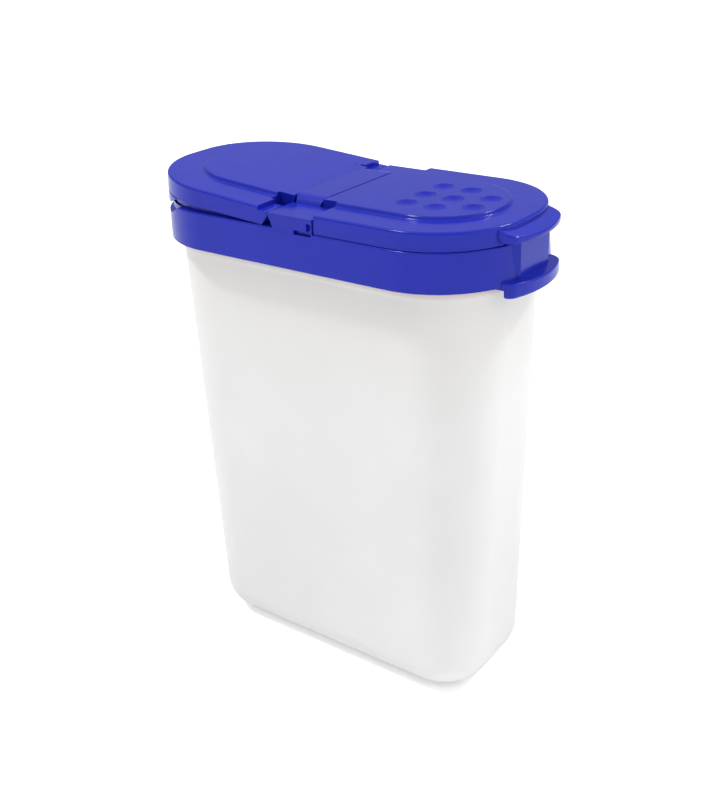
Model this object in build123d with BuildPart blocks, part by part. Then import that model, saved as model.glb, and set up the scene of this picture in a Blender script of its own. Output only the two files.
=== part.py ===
"""Spice dispenser: an oval container with a press-on seal that carries two hinged flaps.

The pour flap opens a large D-shaped mouth and the shaker flap opens eight sifting holes.
Units are millimetres. The origin is at the middle of the base, +X points to the shaker end,
-Y is the front and +Z is up. The pour flap is drawn standing slightly ajar, its resting state.
"""

from build123d import *
import os

# Container
base_length = 79.0
base_width = 35.2
base_corner_radius = 11.3
base_edge_radius = 8.4
shoulder_end_step = 2.65
shoulder_side_step = 2.85
shoulder_corner_step = 4.5
container_height = 112.9
container_wall = 1.1
container_floor = 1.4
neck_step = 0.3
bead_height = 1.8
bead_reach = 0.5
bead_below_collar = 0.4

# Seal: collar, deck and the plug that enters the container's mouth
lid_length = 92.9
lid_width = 46.2
lid_end_flat = 5.0
collar_height = 8.5
collar_flare = 0.6
collar_wall = 1.5
collar_edge_radius = 0.3
deck_thickness = 1.6
plug_depth = 4.0
plug_wall = 1.0
plug_clearance = 0.15
plug_lead = 0.4

# Flaps
flap_seat_gap = 0.15
flap_inset = 0.3
skirt_height = 4.05
skirt_wall = 1.0
flap_thickness = 1.3
rim_edge_radius = 0.6
panel_rise = 0.8
panel_end_inset = 6.65
panel_side_inset = 8.0
panel_end_flat = 0.2
panel_slope = 0.5
panel_edge_radius = 0.35
panel_foot_radius = 0.25
pour_flap_overhang = 0.9
pour_deck_overhang = 0.6
pour_flap_ajar = 4.3

# Bridge between the flaps
bridge_width = 8.1
bridge_offset = -1.2
bridge_length = 27.8
bridge_wall = 2.0
bridge_edge_radius = 0.2
bridge_nose_radius = 3.0
bridge_nose_overlap = 0.5

# Snap hinges hidden under the flaps' inner ends
hinge_gap = 0.2
barrel_radius = 2.2
flap_end_radius = 0.3
socket_clearance = 0.1
hinge_pin_radius = 0.7
hinge_pin_root = 0.6
hinge_clearance = 0.06
lug_ring_wall = 0.7
lug_post_width = 1.8
lug_thickness = 1.6
lug_side_gap = 0.25
lug_roof_gap = 0.2
lug_spacing = 19.2
lug_mouth = 1.1

# Ear blocks that close the collar wall between the two flaps
ear_top_drop = 0.95
ear_end_radius = 1.5
ear_gap = 0.3
ear_lean = 1.7
ear_notch_depth = 0.8
ear_notch_end_wall = 0.3
ear_notch_drop = 0.6
ear_notch_length = 4.7
ear_notch_height = 1.0
ear_notch_arm_width = 1.2
ear_notch_arm_height = 2.8

# Inner ends of the flaps beside the hinges
wing_end_wall = 1.2
pour_wing_reach = 2.0
pour_wing_lean = 1.6
pour_wing_step = 0.75
pocket_width = 3.1

# Openings in the deck, with what closes them
mouth_inset = 9.4
mouth_start = 5.2
mouth_lip_wall = 1.0
mouth_lip_height = 1.4
mouth_rib_wall = 1.0
mouth_rib_clearance = 0.35
mouth_rib_reach = 1.0
seat_rim_height = 2.6
seat_rim_wall = 0.9
seat_rim_gap = 0.3
seat_rim_end_gap = 1.3
sifter_hole = 4.4
sifter_start = 15.0
sifter_pitch = 7.1
sifter_row_pitch = 7.3
dimple_diameter = 5.0
dimple_depth = 0.9
dimple_floor = 1.0
sifter_plug_root = 3.6
sifter_plug_tip = 3.0
sifter_plug_reach = 0.9

# Thumb tabs and the pad between them
tab_reach = 3.5
tab_half_width = 10.6
tab_edge_radius = 25.0
tab_corner_radius = 2.4
tab_root_depth = 4.0
tab_top_radius = 0.4
flap_tab_root = 2.1
flap_tab_tip = 1.0
flap_tab_lift = 0.6
flap_tab_lower_radius = 0.3
seal_tab_rise = 1.1
seal_tab_slope = 0.5
seal_tab_drop = 2.4
seal_tab_plate = 1.2
seal_tab_lip = 1.6
seal_tab_lip_gap = 0.5
seal_tab_lower_radius = 0.7
pad_reach = 0.8
pad_half_width = 6.0
pad_root_half_width = 7.75
pad_gap = 0.25

# Lip that hangs from the pour flap's end, and its room in the seal
pull_lip_start = 13.0
pull_lip_ramp = 4.5
pull_lip_drop = 2.3
pull_lip_setback = 0.05
pull_lip_thickness = 0.65
pull_lip_overlap = 0.4
pull_lip_clearance = 0.12
pull_lip_groove_depth = 0.3
pull_lip_groove_height = 0.35

# Levels worked out from the sizes above
deck_under = container_height
deck_top = deck_under + deck_thickness
collar_bottom = deck_top - collar_height
flap_bottom = deck_top + flap_seat_gap
rim_top = flap_bottom + skirt_height
rim_under = rim_top - flap_thickness
panel_top = rim_top + panel_rise
panel_under = panel_top - flap_thickness
hinge_height = panel_top - barrel_radius
ear_top = rim_top - ear_top_drop
ear_foot = deck_top - deck_thickness / 2

# Sizes of the container's shoulder and the lid's round ends
lid_end_radius = (lid_width - lid_end_flat) / 2
shoulder_length = lid_length - 2 * shoulder_end_step
shoulder_width = lid_width - 2 * shoulder_side_step
shoulder_corner_radius = lid_end_radius - shoulder_corner_step

# Places along the length
bridge_right = bridge_offset + bridge_width / 2
bridge_left = bridge_offset - bridge_width / 2
shaker_hinge_x = bridge_right + hinge_gap + barrel_radius
pour_hinge_x = bridge_left - hinge_gap - barrel_radius
lug_rows = (-lug_spacing / 2, lug_spacing / 2)
lug_bore_radius = hinge_pin_radius + hinge_clearance
lug_ring_radius = lug_bore_radius + lug_ring_wall
slot_width = lug_thickness + 2 * lug_side_gap
wing_end = ear_end_radius + ear_gap
mouth_edge_x = pour_hinge_x - mouth_start
tab_tip_x = lid_length / 2 + tab_reach
tab_root_x = lid_length / 2 - tab_root_depth
tab_arc_x = tab_tip_x - tab_edge_radius
tab_corner_x = tab_arc_x + (tab_edge_radius**2 - tab_half_width**2) ** 0.5
pull_lip_start_x = pull_lip_start - lid_length / 2
sifter_x = shaker_hinge_x + sifter_start
sifter_spots = [
    (sifter_x, -sifter_row_pitch),
    (sifter_x, 0),
    (sifter_x, sifter_row_pitch),
    (sifter_x + sifter_pitch, -sifter_row_pitch),
    (sifter_x + sifter_pitch, 0),
    (sifter_x + sifter_pitch, sifter_row_pitch),
    (sifter_x + 2 * sifter_pitch, -sifter_row_pitch / 2),
    (sifter_x + 2 * sifter_pitch, sifter_row_pitch / 2),
]

# The hinge line of the pour flap: a positive turn opens the flap
pour_hinge = Axis((pour_hinge_x, 0, hinge_height), (0, 1, 0))

# Longer than anything in the model, for cuts that run right through
beyond = 2 * lid_length


def lid_oval(inset, overhang=0.0, mode=Mode.ADD):
    """The lid's outline, drawn in by inset and lengthened past the pour end by overhang."""
    length = lid_length + overhang - 2 * inset
    with Locations((-overhang / 2, 0)):
        RectangleRounded(length, lid_width - 2 * inset, lid_end_radius - inset, mode=mode)


def panel_oval(inset):
    """The outline of the raised panels, drawn in by inset from their foot."""
    half_length = lid_length / 2 - panel_end_inset - inset
    half_width = lid_width / 2 - panel_side_inset - inset
    RectangleRounded(2 * half_length, 2 * half_width, half_width - panel_end_flat / 2)


def mouth_outline(inset):
    """The D shape of the pour mouth, drawn in by inset."""
    lid_oval(mouth_inset + inset)
    with Locations((mouth_edge_x - inset - beyond / 2, 0)):
        Rectangle(beyond, beyond, mode=Mode.INTERSECT)


def body_outline(height, grow=0.0):
    """The container's outline at a height below the shoulder, grown outwards by grow."""
    share = height / collar_bottom
    length = base_length + (shoulder_length - base_length) * share
    width = base_width + (shoulder_width - base_width) * share
    corner = base_corner_radius + (shoulder_corner_radius - base_corner_radius) * share
    RectangleRounded(length + 2 * grow, width + 2 * grow, corner + grow)


def neck_outline(inset):
    """The outline of the container's neck, drawn in by inset."""
    drawn_in = neck_step + inset
    RectangleRounded(
        shoulder_length - 2 * drawn_in,
        shoulder_width - 2 * drawn_in,
        shoulder_corner_radius - drawn_in,
    )


def tab_outline(inset=0.0):
    """The plan of a thumb tab, drawn in by inset: a wide arc between two straight sides."""
    with Locations(Location((tab_arc_x, 0, 0), (0, 0, 180))):
        Circle(tab_edge_radius - inset)
    with Locations((tab_root_x, 0)):
        Rectangle(
            beyond,
            2 * (tab_half_width - inset),
            align=(Align.MIN, Align.CENTER),
            mode=Mode.INTERSECT,
        )


def thumb_tab(bottom, thickness, slope, lower_radius, root_inset):
    """A thumb tab with a sloping top and soft edges, rooted in the wall at root_inset."""
    fall = slope / tab_reach
    root_x = tab_root_x - tab_reach
    end_x = tab_tip_x + tab_reach
    top = bottom + thickness
    with BuildSketch(Plane.XY.offset(bottom)) as plan:
        tab_outline()
        corners = vertices().filter_by_position(
            Axis.X, tab_corner_x - 0.01, tab_corner_x + 0.01
        )
        fillet(corners, radius=tab_corner_radius)
    extrude(plan.sketch, amount=thickness + slope + tab_reach)
    with BuildSketch(Plane.XZ) as above:
        Polygon(
            (root_x, top + fall * (lid_length / 2 - root_x)),
            (end_x, top - fall * (end_x - lid_length / 2)),
            (end_x, top + slope + 2 * tab_reach),
            (root_x, top + slope + 2 * tab_reach),
            align=None,
        )
    extrude(above.sketch, amount=lid_width, both=True, mode=Mode.SUBTRACT)
    fillet(faces().sort_by(Axis.Z)[-1].edges().sort_by(Axis.X)[1:], radius=tab_top_radius)
    fillet(faces().sort_by(Axis.Z)[0].edges().sort_by(Axis.X)[1:], radius=lower_radius)
    with BuildSketch(Plane.XY.offset(bottom)) as root:
        lid_oval(root_inset)
    extrude(root.sketch, amount=thickness + slope + tab_reach, mode=Mode.SUBTRACT)


def pull_lip_plan(outer_inset, inner_inset):
    """The plan of the pull lip, between two insets from the pour flap's outline."""
    lid_oval(outer_inset, pour_flap_overhang)
    lid_oval(inner_inset, pour_flap_overhang, mode=Mode.SUBTRACT)


def pull_lip_side(clearance):
    """The pull lip from the side, grown by clearance: its underside slopes down to the end."""
    low = flap_bottom - pull_lip_drop - clearance
    Polygon(
        (pull_lip_start_x + clearance, flap_bottom + pull_lip_overlap),
        (pull_lip_start_x + clearance, flap_bottom - clearance),
        (pull_lip_start_x - pull_lip_ramp, low),
        (-beyond, low),
        (-beyond, flap_bottom + pull_lip_overlap),
        align=None,
    )


def hinge_barrel(hinge_x, side):
    """The barrel of a flap on the given side of the bridge, slotted for its lugs and pinned.

    A square shoulder over the barrel carries the flap's flat top right up to the bridge.
    """
    end_x = hinge_x - side * barrel_radius
    with BuildSketch(Plane.XZ) as shoulder:
        Polygon(
            (hinge_x, hinge_height),
            (end_x, hinge_height),
            (end_x, panel_top),
            (hinge_x, panel_top),
            align=None,
        )
        corner = vertices().group_by(Axis.Y)[-1].sort_by(Axis.X)
        fillet(corner[0] if side > 0 else corner[-1], radius=flap_end_radius)
    extrude(shoulder.sketch, amount=bridge_length / 2, both=True)
    with BuildSketch(Plane.XZ) as barrel:
        with Locations((hinge_x, hinge_height)):
            Circle(barrel_radius)
    extrude(barrel.sketch, amount=bridge_length / 2, both=True)
    reach = 2 * barrel_radius
    post_room = lug_post_width / 2 + lug_roof_gap
    for row in lug_rows:
        with BuildSketch(Plane.XZ.offset(-row)) as slot:
            with Locations((hinge_x, hinge_height)):
                Circle(lug_ring_radius + lug_roof_gap)
            Polygon(
                (hinge_x + side * post_room, hinge_height),
                (hinge_x + side * post_room, hinge_height - reach),
                (hinge_x - side * reach, hinge_height - reach),
                (hinge_x - side * reach, hinge_height + post_room + lug_roof_gap),
                (hinge_x, hinge_height + post_room),
                (hinge_x, hinge_height),
                align=None,
            )
        extrude(slot.sketch, amount=slot_width / 2, both=True, mode=Mode.SUBTRACT)
        with BuildSketch(Plane.XZ.offset(-row)) as pin:
            with Locations((hinge_x, hinge_height)):
                Circle(hinge_pin_radius)
        extrude(pin.sketch, amount=slot_width / 2 + hinge_pin_root, both=True)


def flap_shell(overhang):
    """A flap's outer shape over the whole oval: rim, skirt and raised panel, not yet cut."""
    with BuildSketch(Plane.XY.offset(flap_bottom)) as rim:
        lid_oval(flap_inset, overhang)
    extrude(rim.sketch, amount=skirt_height)
    with BuildSketch(Plane.XY.offset(rim_top)) as panel_foot:
        panel_oval(0)
    with BuildSketch(Plane.XY.offset(panel_top)) as panel_face:
        panel_oval(panel_slope)
    loft([panel_foot.sketch, panel_face.sketch], ruled=True)
    fillet(faces().sort_by(Axis.Z)[-1].edges(), radius=panel_edge_radius)
    rim_face = faces().filter_by_position(Axis.Z, rim_top - 0.01, rim_top + 0.01)[0]
    fillet(rim_face.inner_wires()[0].edges(), radius=panel_foot_radius)
    rim_face = faces().filter_by_position(Axis.Z, rim_top - 0.01, rim_top + 0.01)[0]
    fillet(rim_face.outer_wire().edges(), radius=rim_edge_radius)


def flap_hollow(hinge_x, side, overhang):
    """Hollow a flap from below, up to the end wall beside its hinge."""
    start_x = hinge_x + side * (wing_end + wing_end_wall)
    with BuildSketch(Plane.XY.offset(flap_bottom)) as inside:
        lid_oval(flap_inset + skirt_wall, overhang)
        with Locations((start_x + side * beyond / 2, 0)):
            Rectangle(beyond, beyond, mode=Mode.INTERSECT)
    extrude(inside.sketch, amount=rim_under - flap_bottom, mode=Mode.SUBTRACT)
    with BuildSketch(Plane.XY.offset(rim_under)) as under_panel:
        panel_oval(panel_slope + flap_thickness / 2)
        with Locations((start_x + side * beyond / 2, 0)):
            Rectangle(beyond, beyond, mode=Mode.INTERSECT)
    extrude(under_panel.sketch, amount=panel_under - rim_under, mode=Mode.SUBTRACT)


# Container: a tapering box with a rounded base, a neck and a bead just under the seal
with BuildPart() as cavity:
    for height in (container_floor, collar_bottom):
        with BuildSketch(Plane.XY.offset(height)):
            body_outline(height, grow=-container_wall)
    loft(ruled=True)
    fillet(cavity.edges().group_by(Axis.Z)[0], radius=base_edge_radius - container_wall)
    with BuildSketch(Plane.XY.offset(collar_bottom)):
        neck_outline(container_wall)
    extrude(amount=container_height - collar_bottom)

with BuildPart() as container:
    for height in (0, collar_bottom):
        with BuildSketch(Plane.XY.offset(height)):
            body_outline(height)
    loft(ruled=True)
    fillet(container.edges().group_by(Axis.Z)[0], radius=base_edge_radius)
    with BuildSketch(Plane.XY.offset(collar_bottom)):
        neck_outline(0)
    extrude(amount=container_height - collar_bottom)
    bead_bottom = collar_bottom - bead_below_collar - bead_height
    with BuildSketch(Plane.XY.offset(bead_bottom)):
        body_outline(bead_bottom, grow=bead_reach)
    extrude(amount=bead_height)
    add(cavity.part, mode=Mode.SUBTRACT)

# Lower thumb tab: a sloping plate with a thick lip hanging from its outer edge
seal_tab_bottom = collar_bottom - seal_tab_drop
seal_tab_height = seal_tab_drop + seal_tab_rise
with BuildPart() as seal_tab:
    thumb_tab(
        seal_tab_bottom,
        seal_tab_height,
        seal_tab_slope,
        seal_tab_lower_radius,
        collar_wall - collar_flare,
    )
    with BuildSketch(Plane.XY.offset(seal_tab_bottom)):
        tab_outline(seal_tab_lip)
        lid_oval(-collar_flare - seal_tab_lip_gap)
    extrude(amount=seal_tab_height - seal_tab_slope - seal_tab_plate, mode=Mode.SUBTRACT)

# Bridge: a raised bar that slopes down to the ear blocks at both ends, hollowed along each side
# to let the flap ends turn
bridge_height = panel_top - ear_foot
with BuildPart() as bridge:
    with BuildSketch(Plane.YZ.offset(bridge_left)):
        with Locations((0, ear_foot + bridge_height / 2)):
            Rectangle(bridge_length + 2 * bridge_nose_overlap, bridge_height)
        fillet(vertices().sort_by(Axis.Y)[-2:], radius=bridge_nose_radius)
    extrude(amount=bridge_width)
    side_faces = bridge.faces().filter_by(Axis.X)
    fillet(
        side_faces[0].edges().sort_by(Axis.Z)[1:] + side_faces[1].edges().sort_by(Axis.Z)[1:],
        radius=bridge_edge_radius,
    )
    with BuildSketch(Plane.XZ):
        with Locations((pour_hinge_x, hinge_height), (shaker_hinge_x, hinge_height)):
            Circle(barrel_radius * 2**0.5 + socket_clearance)
    extrude(amount=lid_width, both=True, mode=Mode.SUBTRACT)

# Room in the seal for the pull lip when the pour flap is shut
lip_inset = flap_inset + pull_lip_setback
with BuildPart() as pull_lip_room:
    room_bottom = flap_bottom - pull_lip_drop - pull_lip_clearance
    with BuildSketch(Plane.XY.offset(room_bottom)):
        pull_lip_plan(
            -pour_flap_overhang, lip_inset + pull_lip_thickness + pull_lip_clearance
        )
    extrude(amount=flap_bottom - room_bottom)
    with BuildSketch(Plane.XZ.offset(-lid_width)):
        pull_lip_side(pull_lip_clearance)
    extrude(amount=2 * lid_width, mode=Mode.INTERSECT)

# Seal: collar, deck, plug, bridge, hinge lugs, ear blocks, pad and the openings
with BuildPart() as seal:
    with BuildSketch(Plane.XY.offset(collar_bottom)):
        lid_oval(-collar_flare)
    with BuildSketch(Plane.XY.offset(deck_top)):
        lid_oval(0, pour_deck_overhang)
    loft(ruled=True)
    fillet(seal.faces().sort_by(Axis.Z)[-1].edges(), radius=collar_edge_radius)
    with BuildSketch(Plane.XY.offset(collar_bottom)):
        lid_oval(collar_wall - collar_flare)
    with BuildSketch(Plane.XY.offset(deck_under)):
        lid_oval(collar_wall)
    loft(ruled=True, mode=Mode.SUBTRACT)

    # Plug skirt inside the container's mouth
    plug_bottom = deck_under - plug_depth
    plug_inset = container_wall + plug_clearance
    with BuildSketch(Plane.XY.offset(plug_bottom)):
        neck_outline(plug_inset + plug_lead)
    with BuildSketch(Plane.XY.offset(deck_under)):
        neck_outline(plug_inset)
    loft(ruled=True)
    with BuildSketch(Plane.XY.offset(plug_bottom)):
        neck_outline(plug_inset + plug_lead + plug_wall)
    extrude(amount=plug_depth, mode=Mode.SUBTRACT)

    # Pad on the collar between the thumb tabs, then the lower tab
    pad_top = flap_bottom + flap_tab_lift - pad_gap
    pad_face_x = lid_length / 2 + pad_reach
    pad_root_x = lid_length / 2 - collar_wall / 2
    with BuildSketch(Plane.XY.offset(collar_bottom)):
        Polygon(
            (pad_root_x - collar_wall / 2, -pad_root_half_width),
            (pad_root_x, -pad_root_half_width),
            (pad_face_x, -pad_half_width),
            (pad_face_x, pad_half_width),
            (pad_root_x, pad_root_half_width),
            (pad_root_x - collar_wall / 2, pad_root_half_width),
            align=None,
        )
    extrude(amount=pad_top - collar_bottom)
    add(seal_tab.part)

    # Bridge, hollow from below
    add(bridge.part)
    with BuildSketch(Plane.XY.offset(deck_under)):
        with Locations((bridge_offset, 0)):
            Rectangle(bridge_width - 2 * bridge_wall, bridge_length - 2 * bridge_wall)
    extrude(amount=panel_top - bridge_wall - deck_under, mode=Mode.SUBTRACT)

    # Hinge lugs: a ring on a post, open at the top so that the pin snaps in
    for hinge_x in (pour_hinge_x, shaker_hinge_x):
        for row in lug_rows:
            with BuildSketch(Plane.XZ.offset(-row)):
                with Locations((hinge_x, (ear_foot + hinge_height) / 2)):
                    Rectangle(lug_post_width, hinge_height - ear_foot)
                with Locations((hinge_x, hinge_height)):
                    Circle(lug_ring_radius)
                    Circle(lug_bore_radius, mode=Mode.SUBTRACT)
                    Rectangle(
                        lug_mouth,
                        2 * lug_ring_radius,
                        align=(Align.CENTER, Align.MIN),
                        mode=Mode.SUBTRACT,
                    )
            extrude(amount=lug_thickness / 2, both=True)

    # Ear blocks from the bridge to the collar wall, each with an L-shaped notch low on its right
    ear_right = shaker_hinge_x + ear_end_radius
    ear_left = pour_hinge_x + pour_wing_reach + ear_gap
    notch_right = ear_right - ear_notch_end_wall
    for side in (-1, 1):
        with BuildSketch(Plane.XZ.offset(-side * lid_width / 2)):
            Polygon(
                (ear_left + ear_lean, ear_foot),
                (ear_left, hinge_height),
                (ear_left, ear_top + ear_end_radius),
                (shaker_hinge_x, ear_top + ear_end_radius),
                (shaker_hinge_x, hinge_height),
                (ear_right, hinge_height),
                (ear_right, ear_foot),
                align=None,
            )
            with Locations((shaker_hinge_x, hinge_height)):
                Circle(ear_end_radius)
            with Locations((0, ear_top)):
                Rectangle(
                    beyond, beyond, align=(Align.CENTER, Align.MIN), mode=Mode.SUBTRACT
                )
        extrude(amount=side * (lid_width / 2 - bridge_length / 2 - ear_gap))
        with BuildSketch(Plane.XZ.offset(-side * (lid_width / 2 + collar_flare))):
            with Locations((notch_right, deck_top - ear_notch_drop)):
                Rectangle(ear_notch_length, ear_notch_height, align=(Align.MAX, Align.MIN))
                Rectangle(ear_notch_arm_width, ear_notch_arm_height, align=(Align.MAX, Align.MIN))
        extrude(amount=side * (collar_flare + ear_notch_depth), mode=Mode.SUBTRACT)

    # Seat rims on the deck, just inside the skirts of both flaps
    seat_rim_inset = flap_inset + skirt_wall + seat_rim_gap
    rim_end = wing_end + wing_end_wall + seat_rim_end_gap
    for hinge_x, side, overhang in (
        (pour_hinge_x, -1, pour_flap_overhang),
        (shaker_hinge_x, 1, 0),
    ):
        with BuildSketch(Plane.XY.offset(deck_top)):
            lid_oval(seat_rim_inset, overhang)
            lid_oval(seat_rim_inset + seat_rim_wall, overhang, mode=Mode.SUBTRACT)
            with Locations((hinge_x + side * (rim_end + beyond / 2), 0)):
                Rectangle(beyond, beyond, mode=Mode.INTERSECT)
        extrude(amount=seat_rim_height)
    add(pull_lip_room.part, mode=Mode.SUBTRACT)

    # Pour mouth with its raised lip, and the sifting holes
    with BuildSketch(Plane.XY.offset(deck_top)):
        mouth_outline(-mouth_lip_wall)
    extrude(amount=mouth_lip_height)
    with BuildSketch(Plane.XY.offset(deck_under)):
        mouth_outline(0)
    extrude(amount=deck_thickness + mouth_lip_height, mode=Mode.SUBTRACT)
    with BuildSketch(Plane.XY.offset(deck_under)):
        with Locations(*sifter_spots):
            Circle(sifter_hole / 2)
    extrude(amount=deck_thickness, mode=Mode.SUBTRACT)

# Upper thumb tab: a thin plate under the shaker flap's rim
with BuildPart() as flap_tab:
    thumb_tab(
        flap_bottom + flap_tab_lift,
        flap_tab_root,
        flap_tab_root - flap_tab_tip,
        flap_tab_lower_radius,
        flap_inset + skirt_wall,
    )

# Shaker flap: raised panel with dimples, plugs for the sifting holes and the upper tab
with BuildPart() as shaker_flap:
    flap_shell(0)
    with BuildSketch(Plane.XZ):
        Polygon(
            (shaker_hinge_x, flap_bottom - skirt_height),
            (shaker_hinge_x, panel_top + skirt_height),
            (shaker_hinge_x - beyond, panel_top + skirt_height),
            (shaker_hinge_x - beyond, flap_bottom - skirt_height),
            align=None,
        )
    extrude(amount=lid_width, both=True, mode=Mode.SUBTRACT)
    for side in (-1, 1):
        with BuildSketch(Plane.XZ.offset(-side * bridge_length / 2)):
            Polygon(
                (shaker_hinge_x + wing_end, flap_bottom - skirt_height),
                (shaker_hinge_x + wing_end, panel_top + skirt_height),
                (shaker_hinge_x - beyond, panel_top + skirt_height),
                (shaker_hinge_x - beyond, flap_bottom - skirt_height),
                align=None,
            )
        extrude(amount=-side * lid_width, mode=Mode.SUBTRACT)
    flap_hollow(shaker_hinge_x, 1, 0)
    with BuildSketch(Plane.XZ):
        Polygon(
            (shaker_hinge_x, hinge_height),
            (shaker_hinge_x, flap_bottom - skirt_height),
            (shaker_hinge_x + wing_end, flap_bottom - skirt_height),
            (shaker_hinge_x + wing_end, hinge_height),
            align=None,
        )
    extrude(amount=lid_width, both=True, mode=Mode.SUBTRACT)
    hinge_barrel(shaker_hinge_x, 1)
    with BuildSketch(Plane.XY.offset(flap_bottom)):
        with Locations((lid_length / 2, 0)):
            Rectangle(2 * tab_reach, 2 * (pad_root_half_width + pad_gap))
    extrude(amount=flap_tab_lift, mode=Mode.SUBTRACT)
    add(flap_tab.part)
    boss_bottom = panel_top - dimple_depth - dimple_floor
    with BuildSketch(Plane.XY.offset(boss_bottom)):
        with Locations(*sifter_spots):
            Circle(dimple_diameter / 2 + dimple_floor)
    extrude(amount=panel_under - boss_bottom)
    plug_tip = deck_top - sifter_plug_reach
    for spot in sifter_spots:
        with Locations((spot[0], spot[1], plug_tip)):
            Cone(
                bottom_radius=sifter_plug_tip / 2,
                top_radius=sifter_plug_root / 2,
                height=boss_bottom - plug_tip,
                align=(Align.CENTER, Align.CENTER, Align.MIN),
            )
    bowl_radius = (dimple_diameter**2 / 4 + dimple_depth**2) / (2 * dimple_depth)
    for spot in sifter_spots:
        with Locations((spot[0], spot[1], panel_top + bowl_radius - dimple_depth)):
            Sphere(bowl_radius, mode=Mode.SUBTRACT)

# Pull lip: it hangs from the pour flap's skirt, set back a little from its face
with BuildPart() as pull_lip:
    with BuildSketch(Plane.XY.offset(flap_bottom - pull_lip_drop)):
        pull_lip_plan(lip_inset, lip_inset + pull_lip_thickness)
    extrude(amount=pull_lip_drop + pull_lip_overlap)
    with BuildSketch(Plane.XZ.offset(-lid_width)):
        pull_lip_side(0)
    extrude(amount=2 * lid_width, mode=Mode.INTERSECT)
    with BuildSketch(Plane.XY.offset(flap_bottom - pull_lip_groove_height)):
        pull_lip_plan(lip_inset - pull_lip_setback, lip_inset + pull_lip_groove_depth)
    extrude(amount=pull_lip_groove_height, mode=Mode.SUBTRACT)

# Pour flap as it lies when shut: raised panel, sealing rib and the pull lip round its end
with BuildPart() as pour_flap_shut:
    flap_shell(pour_flap_overhang)
    with BuildSketch(Plane.XZ):
        Polygon(
            (pour_hinge_x, hinge_height),
            (pour_hinge_x, panel_top + skirt_height),
            (pour_hinge_x + beyond, panel_top + skirt_height),
            (pour_hinge_x + beyond, hinge_height),
            align=None,
        )
    extrude(amount=bridge_length / 2, both=True, mode=Mode.SUBTRACT)
    wing_tip_x = pour_hinge_x + pour_wing_reach
    wing_step_x = pour_hinge_x - pour_wing_step
    for side in (-1, 1):
        with BuildSketch(Plane.XZ.offset(-side * bridge_length / 2)):
            Polygon(
                (wing_tip_x - pour_wing_lean, flap_bottom),
                (wing_tip_x, hinge_height - ear_gap),
                (wing_tip_x - ear_gap, ear_top),
                (wing_step_x, ear_top),
                (wing_step_x, panel_top + skirt_height),
                (pour_hinge_x + beyond, panel_top + skirt_height),
                (pour_hinge_x + beyond, flap_bottom),
                align=None,
            )
        extrude(amount=-side * lid_width, mode=Mode.SUBTRACT)
        with BuildSketch(Plane.XZ.offset(-side * bridge_length / 2)):
            Polygon(
                (pour_hinge_x - wing_end, flap_bottom - skirt_height),
                (pour_hinge_x - wing_end, panel_top + skirt_height),
                (pour_hinge_x + beyond, panel_top + skirt_height),
                (pour_hinge_x + beyond, flap_bottom - skirt_height),
                align=None,
            )
        extrude(amount=-side * pocket_width, mode=Mode.SUBTRACT)
    flap_hollow(pour_hinge_x, -1, pour_flap_overhang)
    with BuildSketch(Plane.XZ):
        Polygon(
            (pour_hinge_x - wing_end, hinge_height),
            (pour_hinge_x - wing_end, flap_bottom - skirt_height),
            (pour_hinge_x + beyond, flap_bottom - skirt_height),
            (pour_hinge_x + beyond, hinge_height),
            align=None,
        )
    extrude(amount=bridge_length / 2, both=True, mode=Mode.SUBTRACT)
    hinge_barrel(pour_hinge_x, -1)

    # Sealing rib that drops inside the raised lip of the mouth
    rib_bottom = deck_top + mouth_lip_height - mouth_rib_reach
    with BuildSketch(Plane.XY.offset(rib_bottom)):
        mouth_outline(mouth_rib_clearance)
    extrude(amount=panel_under + flap_thickness / 2 - rib_bottom)
    with BuildSketch(Plane.XY.offset(rib_bottom)):
        mouth_outline(mouth_rib_clearance + mouth_rib_wall)
    extrude(amount=panel_under - rib_bottom, mode=Mode.SUBTRACT)

    # Pull lip under the end of the skirt
    add(pull_lip.part)

with BuildPart() as pour_flap:
    add(pour_flap_shut.part.rotate(pour_hinge, pour_flap_ajar))

container.part.label = "container"
seal.part.label = "seal"
shaker_flap.part.label = "shaker_flap"
pour_flap.part.label = "pour_flap"

os.makedirs("parts", exist_ok=True)
export_step(container.part, "parts/container.step")
export_step(seal.part, "parts/seal.step")
export_step(shaker_flap.part, "parts/shaker_flap.step")
export_step(pour_flap.part, "parts/pour_flap.step")
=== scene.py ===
# %% [markdown]
# # A spice dispenser in frosted and blue plastic
# The object is a tall oval container with a press-on seal. The seal carries two hinged flaps:
# one for pouring, one for sifting. The solid shapes come ready made from the frame, in metres,
# so this lesson is about the finish of moulded plastic, the light and the camera.

# %% Load the frame
import math
import bpy
from mathutils import Matrix, Vector

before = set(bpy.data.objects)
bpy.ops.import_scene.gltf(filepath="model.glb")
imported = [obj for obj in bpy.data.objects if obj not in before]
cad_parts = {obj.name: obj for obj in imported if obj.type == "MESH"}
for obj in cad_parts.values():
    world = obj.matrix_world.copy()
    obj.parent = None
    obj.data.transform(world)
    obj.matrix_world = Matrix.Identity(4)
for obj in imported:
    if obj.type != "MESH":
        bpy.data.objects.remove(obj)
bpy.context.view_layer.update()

MM = 0.001  # one millimetre, in metres

# %% [markdown]
# ## Camera
# The dispenser is seen from its front right, a little from above, at about a forearm's distance.
# A camera could be placed by its coordinates, but a turn, a rise and a distance are easier to
# read and to change. The camera is then rolled slightly about its own line of sight, and a small
# shift puts the object where the picture has it.

# %% Aim things at the dispenser
def direction(turn_deg, rise_deg):
    """A unit vector that points from the object towards a viewer or a lamp."""
    turn, rise = math.radians(turn_deg), math.radians(rise_deg)
    return Vector((
        math.sin(turn) * math.cos(rise),
        -math.cos(turn) * math.cos(rise),
        math.sin(rise),
    ))


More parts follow.
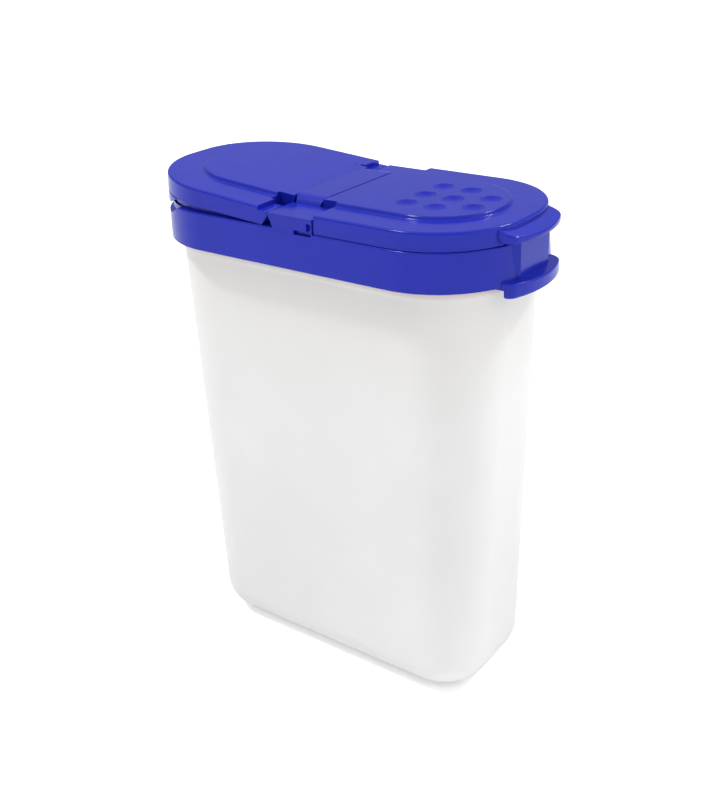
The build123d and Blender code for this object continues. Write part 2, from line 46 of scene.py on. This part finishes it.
def aim(obj, target, towards, distance, roll_deg=0.0):
    """Place obj at a distance from target, looking back at it, rolled by roll_deg."""
    back = towards.normalized()
    right = Vector((0, 0, 1)).cross(back).normalized()
    up = back.cross(right)
    roll = math.radians(roll_deg)
    right, up = (
        math.cos(roll) * right + math.sin(roll) * up,
        -math.sin(roll) * right + math.cos(roll) * up,
    )
    turn = Matrix((right, up, back)).transposed().to_4x4()
    obj.matrix_world = Matrix.Translation(target + back * distance) @ turn


# %% Camera
camera_data = bpy.data.cameras.new("camera")
camera_data.lens = 52.296
camera_data.sensor_width = 36.0
camera_data.shift_x = 0.0059
camera_data.shift_y = -0.0083
camera_data.clip_start = 10 * MM
camera = bpy.data.objects.new("camera", camera_data)
bpy.context.scene.collection.objects.link(camera)
bpy.context.scene.camera = camera

looked_at = Vector((0.000071, 0, 0.066864))
camera_side = direction(turn_deg=37.238, rise_deg=25.089)
aim(camera, looked_at, camera_side, distance=0.285008, roll_deg=-2.304)
print("camera at", [round(v / MM, 1) for v in camera.matrix_world.translation], "mm")

# %% [markdown]
# ## Floor
# The picture is a plain product shot, white all round with hardly any shadow. A very bright floor
# would do that, but it would also light the dispenser from below. This floor is pale and gives
# off a little light that only the camera sees, so it looks like an overexposed white sweep and
# lights the dispenser no more than a pale table does.

# %% Floor
floor_reach = 3.0
floor_glow = 0.35

floor_mesh = bpy.data.meshes.new("floor")
corners = [(x * floor_reach, y * floor_reach, 0) for x, y in ((-1, -1), (1, -1), (1, 1), (-1, 1))]
floor_mesh.from_pydata(corners, [], [(0, 1, 2, 3)])
floor = bpy.data.objects.new("floor", floor_mesh)
bpy.context.scene.collection.objects.link(floor)


def seen_by_camera(tree, low, high):
    """A node that gives high to what the camera sees itself, and low to all other light."""
    path = tree.nodes.new("ShaderNodeLightPath")
    level = tree.nodes.new("ShaderNodeMapRange")
    level.inputs["To Min"].default_value = low
    level.inputs["To Max"].default_value = high
    tree.links.new(path.outputs["Is Camera Ray"], level.inputs["Value"])
    return level


floor_paint = bpy.data.materials.new("floor_paint")
floor_paint.use_nodes = True
paint = floor_paint.node_tree.nodes["Principled BSDF"]
paint.inputs["Base Color"].default_value = (0.94, 0.94, 0.94, 1)
paint.inputs["Roughness"].default_value = 0.9
paint.inputs["Specular IOR Level"].default_value = 0.1
paint.inputs["Emission Color"].default_value = (1, 1, 1, 1)
glow = seen_by_camera(floor_paint.node_tree, 0.0, floor_glow)
floor_paint.node_tree.links.new(glow.outputs["Result"], paint.inputs["Emission Strength"])
floor_mesh.materials.append(floor_paint)

# %% [markdown]
# ## Sky
# A white room lights moulded plastic softly from everywhere. One white sky does the same with no
# walls to build. It is dimmer near the horizon than overhead, which keeps the upright walls a
# touch darker than the tops, and the camera itself sees it as pure white.

# %% Sky
horizon_strength, overhead_strength = 0.36, 0.74
fade_start, fade_end = 0.25, 0.75  # heights in the sky: 0 at the horizon, 1 overhead

bpy.context.scene.view_settings.view_transform = "Standard"
world = bpy.data.worlds.new("white_room")
world.use_nodes = True
bpy.context.scene.world = world
sky = world.node_tree.nodes["Background"]
sky.inputs["Color"].default_value = (1, 1, 1, 1)

heading = world.node_tree.nodes.new("ShaderNodeTexCoord")
heading_parts = world.node_tree.nodes.new("ShaderNodeSeparateXYZ")
fade = world.node_tree.nodes.new("ShaderNodeMapRange")
fade.interpolation_type = "SMOOTHSTEP"
fade.inputs["From Min"].default_value = fade_start
fade.inputs["From Max"].default_value = fade_end
fade.inputs["To Min"].default_value = horizon_strength
fade.inputs["To Max"].default_value = overhead_strength
brightness = seen_by_camera(world.node_tree, 0.0, 1.0)
world.node_tree.links.new(heading.outputs["Generated"], heading_parts.inputs["Vector"])
world.node_tree.links.new(heading_parts.outputs["Z"], fade.inputs["Value"])
world.node_tree.links.new(fade.outputs["Result"], brightness.inputs["To Min"])
world.node_tree.links.new(brightness.outputs["Result"], sky.inputs["Strength"])

# %% [markdown]
# ## Suns
# The sky alone gives no highlights. Two small suns draw the short bright ones on the rounded
# edges, one from the left and one from behind, and a wide dim one lifts the right end. Area lamps
# would do too, but a sun lights the whole floor evenly, which a lamp close by can't.

# %% Suns
def sun(name, turn_deg, rise_deg, width_deg, strength):
    """A sun of the given width that shines on the dispenser from one side."""
    data = bpy.data.lights.new(name, "SUN")
    data.angle = math.radians(width_deg)
    data.energy = strength
    lamp = bpy.data.objects.new(name, data)
    bpy.context.scene.collection.objects.link(lamp)
    aim(lamp, Vector((0, 0, 80 * MM)), direction(turn_deg, rise_deg), distance=1.0)
    print(name, "shines from", turn_deg, "degrees,", rise_deg, "degrees up")


sun("left_sun", turn_deg=-55, rise_deg=60, width_deg=7, strength=1.35)
sun("rear_sun", turn_deg=146, rise_deg=47, width_deg=7, strength=0.95)
sun("right_sun", turn_deg=98, rise_deg=12, width_deg=60, strength=0.5)

# %% [markdown]
# ## The skin of moulded plastic
# Both plastics come out of a steel mould. Their skin is smooth, but not perfect: the colour is a
# little cloudy where the plastic flowed, the gloss changes in soft patches, and very fine grain
# from the mould breaks up the reflections. Each plastic could have its own nodes for that. One
# node group makes all three instead, and each plastic gives it its own sizes and amounts.

# %% Mould texture group
mould = bpy.data.node_groups.new("mould_texture", "ShaderNodeTree")
group_inputs = {
    "Light Colour": "NodeSocketColor",
    "Deep Colour": "NodeSocketColor",
    "Cloud Size": "NodeSocketFloat",
    "Patch Size": "NodeSocketFloat",
    "Grain Size": "NodeSocketFloat",
    "Glossy": "NodeSocketFloat",
    "Dull": "NodeSocketFloat",
    "Grain Share": "NodeSocketFloat",
}
group_outputs = {
    "Colour": "NodeSocketColor",
    "Roughness": "NodeSocketFloat",
    "Height": "NodeSocketFloat",
}
for name, kind in group_inputs.items():
    mould.interface.new_socket(name, in_out="INPUT", socket_type=kind)
for name, kind in group_outputs.items():
    mould.interface.new_socket(name, in_out="OUTPUT", socket_type=kind)
given = mould.nodes.new("NodeGroupInput")
made = mould.nodes.new("NodeGroupOutput")
place = mould.nodes.new("ShaderNodeTexCoord")

# %% Clouds of any size
noise_low, noise_high = 0.32, 0.68  # most of the noise lies between these, so they become 0 and 1


def clouds(size_name, detail):
    """Soft noise from 0 to 1 whose patches are about the named size across, in millimetres."""
    scale = mould.nodes.new("ShaderNodeMath")
    scale.operation = "DIVIDE"
    scale.inputs[0].default_value = 1 / MM
    mould.links.new(given.outputs[size_name], scale.inputs[1])
    noise = mould.nodes.new("ShaderNodeTexNoise")
    noise.inputs["Detail"].default_value = detail
    mould.links.new(place.outputs["Object"], noise.inputs["Vector"])
    mould.links.new(scale.outputs["Value"], noise.inputs["Scale"])
    spread = mould.nodes.new("ShaderNodeMapRange")
    spread.inputs["From Min"].default_value = noise_low
    spread.inputs["From Max"].default_value = noise_high
    mould.links.new(noise.outputs["Fac"], spread.inputs["Value"])
    return spread.outputs["Result"]


# %% Colour, gloss and relief
colour_mix = mould.nodes.new("ShaderNodeMix")
colour_mix.data_type = "RGBA"
mould.links.new(clouds("Cloud Size", detail=3.0), colour_mix.inputs["Factor"])
mould.links.new(given.outputs["Deep Colour"], colour_mix.inputs["A"])
mould.links.new(given.outputs["Light Colour"], colour_mix.inputs["B"])
mould.links.new(colour_mix.outputs["Result"], made.inputs["Colour"])

patches = clouds("Patch Size", detail=2.0)
gloss = mould.nodes.new("ShaderNodeMapRange")
mould.links.new(patches, gloss.inputs["Value"])
mould.links.new(given.outputs["Glossy"], gloss.inputs["To Min"])
mould.links.new(given.outputs["Dull"], gloss.inputs["To Max"])
mould.links.new(gloss.outputs["Result"], made.inputs["Roughness"])

relief = mould.nodes.new("ShaderNodeMix")
mould.links.new(given.outputs["Grain Share"], relief.inputs["Factor"])
mould.links.new(patches, relief.inputs["A"])
mould.links.new(clouds("Grain Size", detail=2.0), relief.inputs["B"])
mould.links.new(relief.outputs["Result"], made.inputs["Height"])
print("mould_texture has", len(mould.nodes), "nodes")

# %% A moulded material
def moulded(name, texture_values, grain_depth):
    """A material whose colour, gloss and fine relief come from the mould texture."""
    material = bpy.data.materials.new(name)
    material.use_nodes = True
    nodes, links = material.node_tree.nodes, material.node_tree.links
    skin = nodes["Principled BSDF"]
    texture = nodes.new("ShaderNodeGroup")
    texture.node_tree = mould
    for socket, value in texture_values.items():
        texture.inputs[socket].default_value = value
    bump = nodes.new("ShaderNodeBump")
    bump.inputs["Distance"].default_value = grain_depth
    links.new(texture.outputs["Colour"], skin.inputs["Base Color"])
    links.new(texture.outputs["Roughness"], skin.inputs["Roughness"])
    links.new(texture.outputs["Height"], bump.inputs["Height"])
    links.new(bump.outputs["Normal"], skin.inputs["Normal"])
    return material, skin, texture


def set_material(node, material):
    """Give every slot of a frame node the material."""
    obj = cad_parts[node]
    if not obj.material_slots:
        obj.data.materials.append(material)
    for slot in obj.material_slots:
        slot.material = material
    print(node, "is in", material.name)


# %% [markdown]
# ## Blue plastic
# The seal and both flaps are moulded in one strong blue, with a skin between satin and glossy.
# Nearly all of the brightness of such a blue is in its blue channel. A paler base colour would
# give the pale look of its tops, but would wash out its sides. So the colour stays deep, and the
# tops are pale because they mirror the white room, which the specular level sets.

# %% Blue plastic
blue, blue_skin, _ = moulded(
    "blue_plastic",
    {
        "Light Colour": (0.012, 0.023, 0.450, 1),
        "Deep Colour": (0.010, 0.020, 0.415, 1),
        "Cloud Size": 9.0,
        "Patch Size": 4.0,
        "Grain Size": 0.35,
        "Glossy": 0.17,
        "Dull": 0.22,
        "Grain Share": 0.25,
    },
    grain_depth=0.003 * MM,
)
blue_skin.inputs["Specular IOR Level"].default_value = 0.27
for node in ("seal", "pour_flap", "shaker_flap"):
    set_material(node, blue)

# %% [markdown]
# ## Frosted plastic
# The container is milky and a little see-through, so light soaks into its wall and comes out
# nearby. Glass with a rough skin could show that, but it is slow and noisy, and the real wall
# shows nothing behind it. Subsurface scattering softens the shading in the same way.

# %% Frosted plastic
frosted, wall, wall_texture = moulded(
    "frosted_plastic",
    {
        "Light Colour": (0.90, 0.90, 0.90, 1),
        "Deep Colour": (0.86, 0.86, 0.855, 1),
        "Cloud Size": 30.0,
        "Patch Size": 8.0,
        "Grain Size": 0.5,
        "Glossy": 0.34,
        "Dull": 0.42,
        "Grain Share": 0.5,
    },
    grain_depth=0.015 * MM,
)
wall.inputs["Specular IOR Level"].default_value = 0.4
wall.inputs["Subsurface Weight"].default_value = 0.2
wall.inputs["Subsurface Radius"].default_value = (1.0, 1.0, 0.95)
wall.inputs["Subsurface Scale"].default_value = 2 * MM
set_material("container", frosted)

# %% [markdown]
# ## Painted shade under the seal
# The upper third of the wall is painted darker and warmer towards the seal, as painted shade
# under its rim, and a thin warm painted shadow line lies just under the seal. Both lie in level
# bands, so each is mixed in by the height on the wall. A painted image could hold them too, but a
# band of numbers stays sharp at any distance.

# %% Painted shade under the seal
wall_nodes, wall_links = frosted.node_tree.nodes, frosted.node_tree.links
wall_place = wall_nodes.new("ShaderNodeTexCoord")
wall_parts = wall_nodes.new("ShaderNodeSeparateXYZ")
wall_links.new(wall_place.outputs["Object"], wall_parts.inputs["Vector"])


def slope(start_mm, end_mm):
    """A mask that grows smoothly from 0 at the start height to 1 at the end height."""
    ramp = wall_nodes.new("ShaderNodeMapRange")
    ramp.interpolation_type = "SMOOTHSTEP"
    ramp.inputs["From Min"].default_value = start_mm * MM
    ramp.inputs["From Max"].default_value = end_mm * MM
    wall_links.new(wall_parts.outputs["Z"], ramp.inputs["Value"])
    return ramp.outputs["Result"]


def product(first, second):
    """A node that multiplies two numbers; the second may be a plain value."""
    times = wall_nodes.new("ShaderNodeMath")
    times.operation = "MULTIPLY"
    wall_links.new(first, times.inputs[0])
    if isinstance(second, float):
        times.inputs[1].default_value = second
    else:
        wall_links.new(second, times.inputs[1])
    return times.outputs["Value"]


def painted_shade_band(unshaded, shade_colour, share, bottom_mm, middle_mm, top_mm):
    """The unshaded colour with painted shade in a band that is strongest at its middle height."""
    band = product(slope(bottom_mm, middle_mm), slope(top_mm, middle_mm))
    mix = wall_nodes.new("ShaderNodeMix")
    mix.data_type = "RGBA"
    mix.inputs["B"].default_value = shade_colour
    wall_links.new(product(band, share), mix.inputs["Factor"])
    wall_links.new(unshaded, mix.inputs["A"])
    return mix.outputs["Result"]


milky = wall_texture.outputs["Colour"]
# Painted shade: the upper wall turns darker and warmer towards the seal, as if in its shade.
shaded_below_seal = painted_shade_band(milky, (0.80, 0.77, 0.70, 1), 0.45, bottom_mm=70, middle_mm=104, top_mm=120)
# Painted shadow line: a thin warm dark line just under the seal's rim.
shadow_line_under_seal = painted_shade_band(shaded_below_seal, (0.92, 0.62, 0.42, 1), 0.40, bottom_mm=104, middle_mm=105, top_mm=105.6)
wall_links.new(shadow_line_under_seal, wall.inputs["Base Color"])
print(frosted.name, "has", len(wall_nodes), "nodes")
